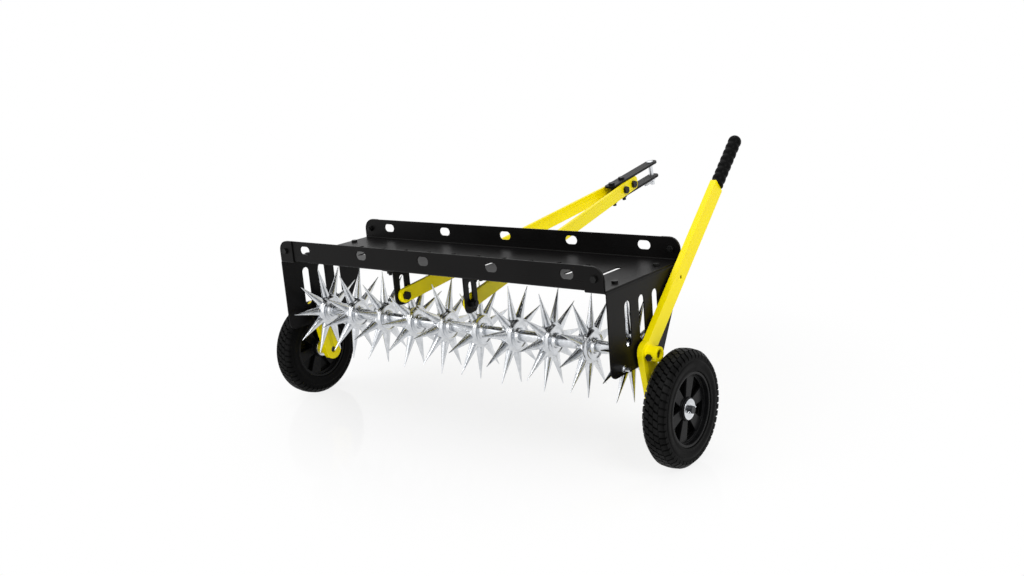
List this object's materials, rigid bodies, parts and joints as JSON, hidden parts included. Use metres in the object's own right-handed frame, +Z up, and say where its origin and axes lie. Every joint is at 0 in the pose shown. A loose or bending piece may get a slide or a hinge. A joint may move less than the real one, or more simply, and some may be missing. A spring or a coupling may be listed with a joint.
{
  "type": "tow-behind spike aerator",
  "caption": "Tow-behind spike aerator with a black weight tray, a row of zinc spike stars, yellow drawbars and lift lever, and two transport wheels",
  "frame": {"origin": "middle of the overall box on the floor under the wheels", "axes": "+X right along the axle, +Y forward in the towing direction, +Z up"},
  "size_m": [1.1692, 1.0086, 0.6334],
  "materials": {
    "black_coat": "satin",
    "black_fastener": "satin",
    "yellow_coat": "gloss",
    "zinc": "satin",
    "shaft_steel": "satin",
    "bush_plastic": "matte",
    "hub_plastic": "matte",
    "tyre_rubber": "matte",
    "grip_rubber": "matte"
  },
  "bodies": {
    "frame": {"weight_tray": "black_coat", "left_side_plate": "black_coat", "right_side_plate": "black_coat", "left_hitch_bracket": "black_coat", "right_hitch_bracket": "black_coat", "left_front_lug": "black_coat", "right_front_lug": "black_coat", "hitch_strap_top": "black_coat", "hitch_strap_bottom": "black_coat", "deck_bolts": "black_fastener", "flange_bolts": "black_fastener", "bracket_bolts": "black_fastener", "frame_nuts": "black_fastener", "drawbar_bolts": "black_fastener", "drawbar_nuts": "black_fastener", "hitch_clamp_bolts": "black_fastener", "hitch_clamp_nuts": "black_fastener", "hitch_cross_bolts": "black_fastener", "hitch_cross_nuts": "black_fastener", "left_drawbar": "yellow_coat", "right_drawbar": "yellow_coat", "left_axle_bushing": "bush_plastic", "right_axle_bushing": "bush_plastic", "lever_stop_bolt": "zinc", "lever_stop_nut": "zinc"},
    "lift": {"star_axle": "shaft_steel", "axle_spacers": "zinc", "left_wheel_arm": "yellow_coat", "right_wheel_arm": "yellow_coat", "lift_lever": "yellow_coat", "lever_grip": "grip_rubber", "sleeve_bolts": "black_fastener", "sleeve_nuts": "black_fastener", "left_wheel_axle": "shaft_steel", "right_wheel_axle": "shaft_steel", "wheel_washers": "zinc", "cotter_pins": "zinc"},
    "left_wheel": {"left_wheel_hub": "hub_plastic", "left_tyre": "tyre_rubber", "left_wheel_bushings": "bush_plastic"},
    "right_wheel": {"right_wheel_hub": "hub_plastic", "right_tyre": "tyre_rubber", "right_wheel_bushings": "bush_plastic"},
    "pin": {"hitch_pin": "zinc"},
    "clip": {"hairpin_clip": "zinc"},
    "star_1": {"spike_star_1": "zinc"},
    "star_2": {"spike_star_2": "zinc"},
    "star_3": {"spike_star_3": "zinc"},
    "star_4": {"spike_star_4": "zinc"},
    "star_5": {"spike_star_5": "zinc"},
    "star_6": {"spike_star_6": "zinc"},
    "star_7": {"spike_star_7": "zinc"},
    "star_8": {"spike_star_8": "zinc"},
    "star_9": {"spike_star_9": "zinc"},
    "star_10": {"spike_star_10": "zinc"}
  },
  "joints": [
    {"name": "lift_hinge", "type": "hinge", "parent": "frame", "child": "lift", "pos_m": [0, -0.38302, 0.24236], "axis": [1, 0, 0], "range_deg": [0, 126]},
    {"name": "left_wheel_hinge", "type": "hinge", "parent": "lift", "child": "left_wheel", "pos_m": [-0.557, -0.35786, 0.124], "axis": [1, 0, 0], "continuous": true},
    {"name": "right_wheel_hinge", "type": "hinge", "parent": "lift", "child": "right_wheel", "pos_m": [0.557, -0.35786, 0.124], "axis": [1, 0, 0], "continuous": true},
    {"name": "pin_hinge", "type": "hinge", "parent": "frame", "child": "pin", "pos_m": [0, 0.47896, 0.4824], "axis": [0, -0.1582, 0.9874], "continuous": true},
    {"name": "clip_slide", "type": "slide", "parent": "pin", "child": "clip", "axis": [0, -0.9874, -0.1582], "range_m": [0, 0.05]},
    {"name": "star_1_hinge", "type": "hinge", "parent": "lift", "child": "star_1", "pos_m": [-0.4572, -0.38302, 0.24236], "axis": [1, 0, 0], "continuous": true},
    {"name": "star_2_hinge", "type": "hinge", "parent": "lift", "child": "star_2", "pos_m": [-0.3556, -0.38302, 0.24236], "axis": [1, 0, 0], "continuous": true},
    {"name": "star_3_hinge", "type": "hinge", "parent": "lift", "child": "star_3", "pos_m": [-0.254, -0.38302, 0.24236], "axis": [1, 0, 0], "continuous": true},
    {"name": "star_4_hinge", "type": "hinge", "parent": "lift", "child": "star_4", "pos_m": [-0.1524, -0.38302, 0.24236], "axis": [1, 0, 0], "continuous": true},
    {"name": "star_5_hinge", "type": "hinge", "parent": "lift", "child": "star_5", "pos_m": [-0.0508, -0.38302, 0.24236], "axis": [1, 0, 0], "continuous": true},
    {"name": "star_6_hinge", "type": "hinge", "parent": "lift", "child": "star_6", "pos_m": [0.0508, -0.38302, 0.24236], "axis": [1, 0, 0], "continuous": true},
    {"name": "star_7_hinge", "type": "hinge", "parent": "lift", "child": "star_7", "pos_m": [0.1524, -0.38302, 0.24236], "axis": [1, 0, 0], "continuous": true},
    {"name": "star_8_hinge", "type": "hinge", "parent": "lift", "child": "star_8", "pos_m": [0.254, -0.38302, 0.24236], "axis": [1, 0, 0], "continuous": true},
    {"name": "star_9_hinge", "type": "hinge", "parent": "lift", "child": "star_9", "pos_m": [0.3556, -0.38302, 0.24236], "axis": [1, 0, 0], "continuous": true},
    {"name": "star_10_hinge", "type": "hinge", "parent": "lift", "child": "star_10", "pos_m": [0.4572, -0.38302, 0.24236], "axis": [1, 0, 0], "continuous": true}
  ]
}
